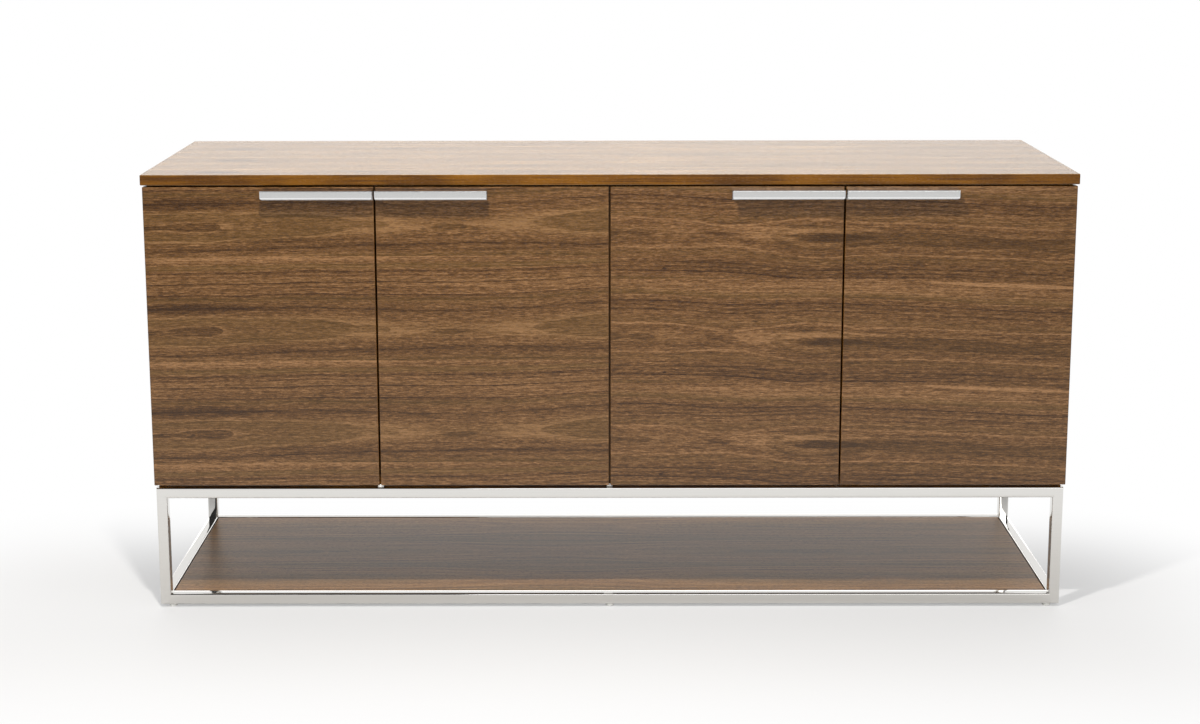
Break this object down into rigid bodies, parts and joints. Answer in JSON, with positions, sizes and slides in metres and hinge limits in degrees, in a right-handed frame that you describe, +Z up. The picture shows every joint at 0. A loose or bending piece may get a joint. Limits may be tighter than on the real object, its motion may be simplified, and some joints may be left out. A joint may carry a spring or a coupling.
{
  "type": "sideboard",
  "caption": "Low walnut sideboard: hinged doors with folded steel pulls, on a polished square-tube frame that carries an open shelf near the floor.",
  "frame": {"origin": "on the floor at the middle of the footprint, handles included", "axes": "+X along the sideboard to the right as seen from the front, +Y from the doors to the back, +Z up"},
  "size_m": [1.6, 0.475, 0.7751],
  "materials": {
    "walnut_veneer": "satin lacquered walnut veneer, grain along the sideboard",
    "case_veneer": "satin lacquered walnut veneer on the case's boards",
    "polished_steel": "mirror-polished stainless steel",
    "hinge_steel": "nickel-plated hinges and shelf pins",
    "white_nylon": "white nylon glides and pads"
  },
  "bodies": {
    "cabinet": {"top_panel": "walnut_veneer", "low_shelf": "walnut_veneer", "left_side_panel": "case_veneer", "right_side_panel": "case_veneer", "centre_partition": "case_veneer", "bottom_panel": "case_veneer", "front_top_stretcher": "case_veneer", "rear_top_stretcher": "case_veneer", "back_panel": "case_veneer", "left_inner_shelf": "case_veneer", "right_inner_shelf": "case_veneer", "front_frame": "polished_steel", "rear_frame": "polished_steel", "left_top_side_rail": "polished_steel", "right_top_side_rail": "polished_steel", "left_bottom_side_rail": "polished_steel", "right_bottom_side_rail": "polished_steel", "centre_cross_rail": "polished_steel", "left_outer_upper_hinge_arm": "hinge_steel", "left_outer_lower_hinge_arm": "hinge_steel", "left_inner_upper_hinge_arm": "hinge_steel", "left_inner_lower_hinge_arm": "hinge_steel", "right_inner_upper_hinge_arm": "hinge_steel", "right_inner_lower_hinge_arm": "hinge_steel", "right_outer_upper_hinge_arm": "hinge_steel", "right_outer_lower_hinge_arm": "hinge_steel", "left_shelf_front_left_pin": "hinge_steel", "left_shelf_front_right_pin": "hinge_steel", "left_shelf_rear_left_pin": "hinge_steel", "left_shelf_rear_right_pin": "hinge_steel", "right_shelf_front_left_pin": "hinge_steel", "right_shelf_front_right_pin": "hinge_steel", "right_shelf_rear_left_pin": "hinge_steel", "right_shelf_rear_right_pin": "hinge_steel", "front_left_glide": "white_nylon", "front_centre_glide": "white_nylon", "front_right_glide": "white_nylon", "rear_left_glide": "white_nylon", "rear_centre_glide": "white_nylon", "rear_right_glide": "white_nylon", "left_door_rest_pad": "white_nylon", "centre_door_rest_pad": "white_nylon"},
    "left_outer_door_leaf": {"left_outer_door": "walnut_veneer", "left_outer_handle": "polished_steel", "left_outer_upper_hinge_cup": "hinge_steel", "left_outer_lower_hinge_cup": "hinge_steel"},
    "left_inner_door_leaf": {"left_inner_door": "walnut_veneer", "left_inner_handle": "polished_steel", "left_inner_upper_hinge_cup": "hinge_steel", "left_inner_lower_hinge_cup": "hinge_steel"},
    "right_inner_door_leaf": {"right_inner_door": "walnut_veneer", "right_inner_handle": "polished_steel", "right_inner_upper_hinge_cup": "hinge_steel", "right_inner_lower_hinge_cup": "hinge_steel"},
    "right_outer_door_leaf": {"right_outer_door": "walnut_veneer", "right_outer_handle": "polished_steel", "right_outer_upper_hinge_cup": "hinge_steel", "right_outer_lower_hinge_cup": "hinge_steel"}
  },
  "joints": [
    {"name": "left_outer_door_hinge", "type": "hinge", "parent": "cabinet", "child": "left_outer_door_leaf", "pos_m": [-0.7973, -0.2175, 0.48985], "axis": [0, 0, -1], "range_deg": [0, 105]},
    {"name": "left_inner_door_hinge", "type": "hinge", "parent": "cabinet", "child": "left_inner_door_leaf", "pos_m": [-0.0015, -0.2175, 0.48985], "axis": [0, 0, 1], "range_deg": [0, 84]},
    {"name": "right_inner_door_hinge", "type": "hinge", "parent": "cabinet", "child": "right_inner_door_leaf", "pos_m": [0.0015, -0.2175, 0.48985], "axis": [0, 0, -1], "range_deg": [0, 84]},
    {"name": "right_outer_door_hinge", "type": "hinge", "parent": "cabinet", "child": "right_outer_door_leaf", "pos_m": [0.7973, -0.2175, 0.48985], "axis": [0, 0, 1], "range_deg": [0, 105]}
  ]
}
